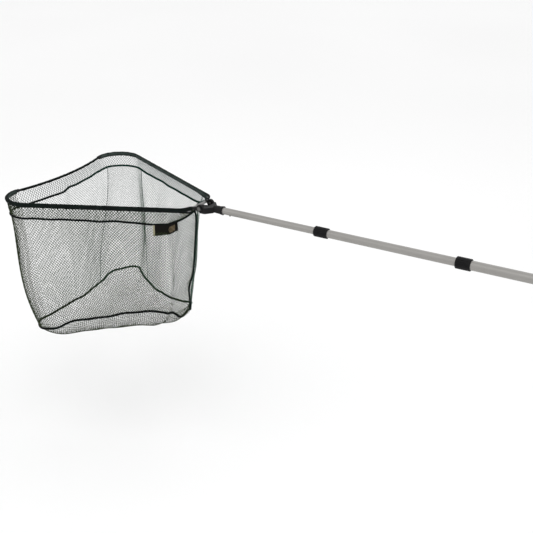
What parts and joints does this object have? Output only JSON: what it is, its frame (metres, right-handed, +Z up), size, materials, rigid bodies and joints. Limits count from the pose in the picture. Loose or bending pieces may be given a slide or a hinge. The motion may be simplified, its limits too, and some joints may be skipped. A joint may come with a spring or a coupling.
{
  "type": "folding landing net",
  "caption": "Folding landing net: a triangular net bag on a bent-tube frame with a cord front, hinged by a fork to a telescopic handle with twist locks.",
  "frame": {"origin": "on the handle's axis, in the middle of the hand grip", "axes": "+X along the handle towards its butt, so the net's head is at -X; +Z up out of the net bag's mouth, so the bag hangs to -Z; +Y from the near arm to the far arm"},
  "size_m": [1.7634, 0.536, 0.4291],
  "materials": {
    "tube_aluminium": "satin",
    "arm_aluminium": "satin",
    "plate_steel": "brushed",
    "rivet_steel": "polished",
    "black_plastic": "matte",
    "collar_plastic": "ribbed matte",
    "fork_plastic": "moulded satin",
    "grip_foam": "fine foam",
    "seam_cord": "braided cord",
    "hem_cloth": "woven hem",
    "netting": "knotless mesh",
    "tag_cloth": "woven label"
  },
  "bodies": {
    "grip": {"grip_tube": "tube_aluminium", "grip_sleeve": "grip_foam", "grip_ring": "black_plastic", "end_cap": "black_plastic", "rear_lock_socket": "black_plastic", "rear_collet": "black_plastic"},
    "rear_collar": {"rear_lock_collar": "collar_plastic"},
    "middle": {"middle_tube": "tube_aluminium", "middle_guide_bush": "black_plastic", "front_lock_socket": "black_plastic", "front_collet": "black_plastic"},
    "front_collar": {"front_lock_collar": "collar_plastic"},
    "front": {"head_tube": "tube_aluminium", "head_guide_bush": "black_plastic", "fork": "fork_plastic", "pivot_rivets": "rivet_steel", "rivet_washers": "rivet_steel", "button_spring": "rivet_steel"},
    "button": {"snap_button": "rivet_steel"},
    "head": {"near_arm": "arm_aluminium", "far_arm": "arm_aluminium", "arm_tips": "black_plastic", "yoke_plate": "plate_steel", "yoke_rivets": "rivet_steel", "front_cord": "seam_cord", "near_hem": "hem_cloth", "far_hem": "hem_cloth", "front_hem": "hem_cloth", "near_side_net": "netting", "far_side_net": "netting", "near_corner_net": "netting", "far_corner_net": "netting", "front_net": "netting", "bottom_net": "netting", "upper_seam_cord": "seam_cord", "lower_seam_cord": "seam_cord", "upright_seams": "seam_cord", "label_tag": "tag_cloth"}
  },
  "joints": [
    {"name": "rear_collar_twist", "type": "hinge", "parent": "grip", "child": "rear_collar", "pos_m": [-0.33, 0, 0], "axis": [1, 0, 0], "range_deg": [0, 180]},
    {"name": "middle_slide", "type": "slide", "parent": "grip", "child": "middle", "axis": [1, 0, 0], "range_m": [0, 0.345]},
    {"name": "front_collar_twist", "type": "hinge", "parent": "middle", "child": "front_collar", "pos_m": [-0.72, 0, 0], "axis": [1, 0, 0], "range_deg": [0, 180]},
    {"name": "front_slide", "type": "slide", "parent": "middle", "child": "front", "axis": [1, 0, 0], "range_m": [0, 0.255]},
    {"name": "head_fold", "type": "hinge", "parent": "front", "child": "head", "pos_m": [-1.089, 0, 0.004], "axis": [0, 1, 0], "range_deg": [0, 170]},
    {"name": "button_press", "type": "slide", "parent": "front", "child": "button", "axis": [0, 0, 1], "range_m": [0, 0.0028], "stiffness_N_per_m": 900, "springref_m": -0.003, "deforming": ["button_spring"]}
  ]
}
